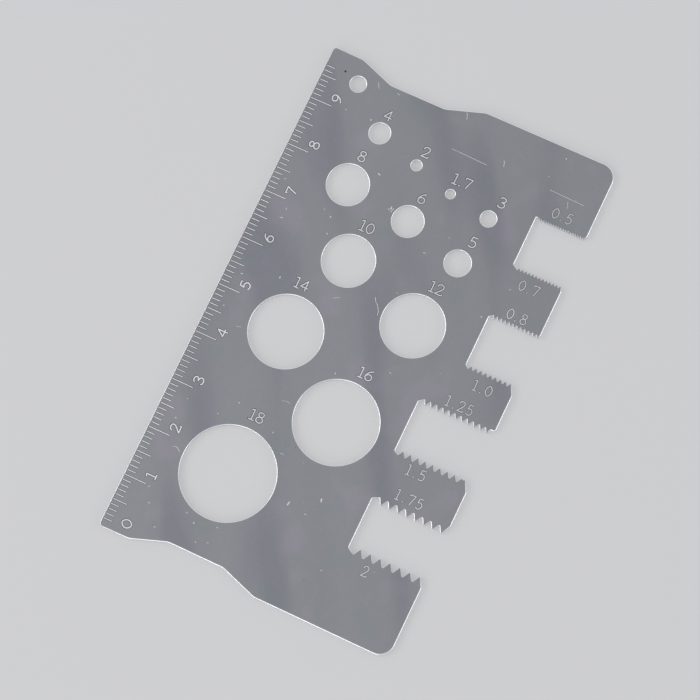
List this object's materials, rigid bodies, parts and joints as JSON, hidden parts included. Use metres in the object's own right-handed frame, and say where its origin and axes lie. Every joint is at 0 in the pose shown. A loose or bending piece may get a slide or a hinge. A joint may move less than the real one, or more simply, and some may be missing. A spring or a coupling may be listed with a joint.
{
  "type": "screw gauge card with ruler",
  "caption": "Flat steel pocket gauge: round sizing holes, toothed pitch slots along one side and a millimetre ruler along the other.",
  "frame": {"origin": "centre of the card's outline on its underside", "axes": "+Z out of the marked face, +Y along the ruler towards its higher numbers, +X from the ruled edge to the slotted edge"},
  "size_m": [0.0594, 0.1014, 0.0008],
  "materials": {
    "plate_steel": "satin, tumbled, with broken rims and frosted engraved marks"
  },
  "bodies": {
    "root": {"gauge_plate": "plate_steel"}
  },
  "joints": []
}
